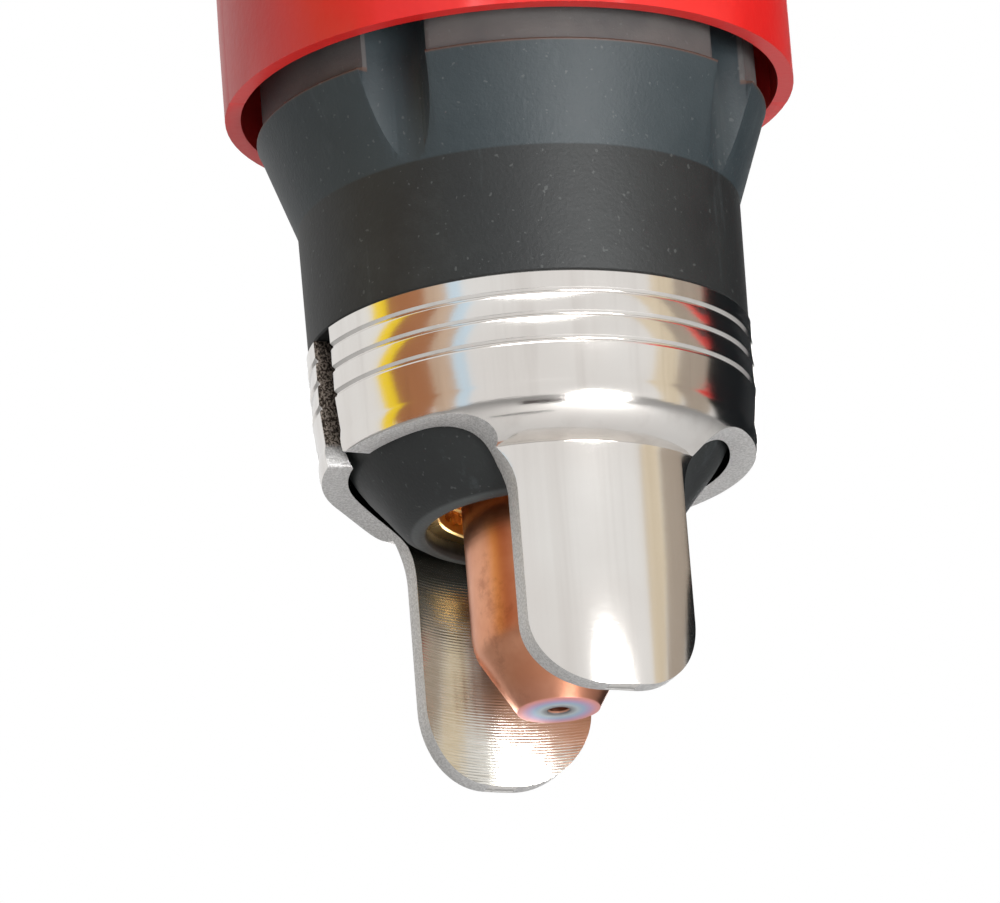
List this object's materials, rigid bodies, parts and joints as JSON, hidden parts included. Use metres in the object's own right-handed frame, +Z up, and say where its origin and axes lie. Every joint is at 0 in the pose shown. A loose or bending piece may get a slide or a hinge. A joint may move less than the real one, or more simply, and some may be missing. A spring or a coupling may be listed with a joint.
{
  "type": "plasma cutting hand torch",
  "caption": "Hand torch of an air plasma cutter: copper nozzle, fluted retaining cup, two-pronged stand-off guide and curved red two-shell handle with trigger.",
  "frame": {"origin": "where the torch axis meets the line of the grip, in the middle of the handle", "axes": "+Z up along the torch axis with the tip pointing down, +X back along the grip, Y across the parting face"},
  "size_m": [0.1928, 0.0288, 0.1005],
  "materials": {
    "shell_red": "semi-gloss moulded",
    "cup_black": "matte moulded phenolic",
    "body_black": "moulded",
    "copper": "satin turned copper",
    "brass": "turned brass",
    "plated_steel": "nickel-plated spring steel",
    "steel": "zinc-plated",
    "hafnium": "ground",
    "rubber": "soft matte",
    "swirl_brown": "machined polyimide",
    "insulator_white": "machined PTFE",
    "wire_red": "insulation",
    "wire_black": "insulation"
  },
  "bodies": {
    "handle": {"anode_body": "brass", "inner_insulator": "insulator_white", "cathode_body": "brass", "torch_body": "body_black", "cup_o_ring": "rubber", "plunger_spring": "steel", "gas_tube": "brass", "lead_union": "brass", "pilot_terminal": "steel", "pilot_screw": "steel", "pilot_wire": "wire_red", "pilot_plug": "brass", "right_handle_shell": "shell_red", "left_handle_shell": "shell_red", "shell_screw_1": "steel", "shell_screw_2": "steel", "shell_screw_3": "steel", "shell_screw_4": "steel", "shell_screw_5": "steel", "trigger_pin": "steel", "trigger_spring": "steel", "switch_body": "body_black", "switch_terminal_1": "brass", "switch_terminal_2": "brass", "switch_wire_1": "wire_black", "switch_wire_2": "insulator_white", "switch_plug": "insulator_white", "inlet_collar": "body_black", "inlet_grommet": "rubber"},
    "front_end": {"nozzle": "copper", "swirl_ring": "swirl_brown"},
    "cup": {"retaining_cup": "cup_black", "cup_insert": "brass"},
    "guide": {"standoff_guide": "plated_steel"},
    "plunger_set": {"plunger": "brass", "electrode": "copper", "emitter": "hafnium", "plunger_o_ring": "rubber"},
    "trigger": {"trigger": "body_black"},
    "switch_button": {"switch_button": "wire_red"}
  },
  "joints": [
    {"name": "cup_travel", "type": "slide", "parent": "handle", "child": "front_end", "axis": [0, 0, -1], "range_m": [0, 0.0045]},
    {"name": "cup_turn", "type": "hinge", "parent": "front_end", "child": "cup", "pos_m": [0, 0, -0.03], "axis": [0, 0, -1], "range_deg": [0, 1081]},
    {"name": "guide_turn", "type": "hinge", "parent": "cup", "child": "guide", "pos_m": [0, 0, -0.04], "axis": [0, 0, 1], "continuous": true},
    {"name": "plunger_slide", "type": "slide", "parent": "handle", "child": "plunger_set", "axis": [0, 0, 1], "range_m": [0, 0.0015], "stiffness_N_per_m": 1500, "springref_m": -0.003, "deforming": ["plunger_spring"]},
    {"name": "trigger_pull", "type": "hinge", "parent": "handle", "child": "trigger", "pos_m": [0.03874, 0, 0.00226], "axis": [0, -1, 0], "range_deg": [0, 3.5], "stiffness_Nm_per_rad": 0.6, "springref_deg": -3.44, "deforming": ["trigger_spring"]},
    {"name": "switch_press", "type": "slide", "parent": "handle", "child": "switch_button", "axis": [-0.2194, 0, 0.9756], "range_m": [0, 0.00184]}
  ],
  "couplings": [
    {"joint": "cup_turn", "follows": "cup_travel", "rad_per_m": 4188.8},
    {"joint": "switch_press", "follows": "trigger_pull", "m_per_rad": 0.03}
  ]
}
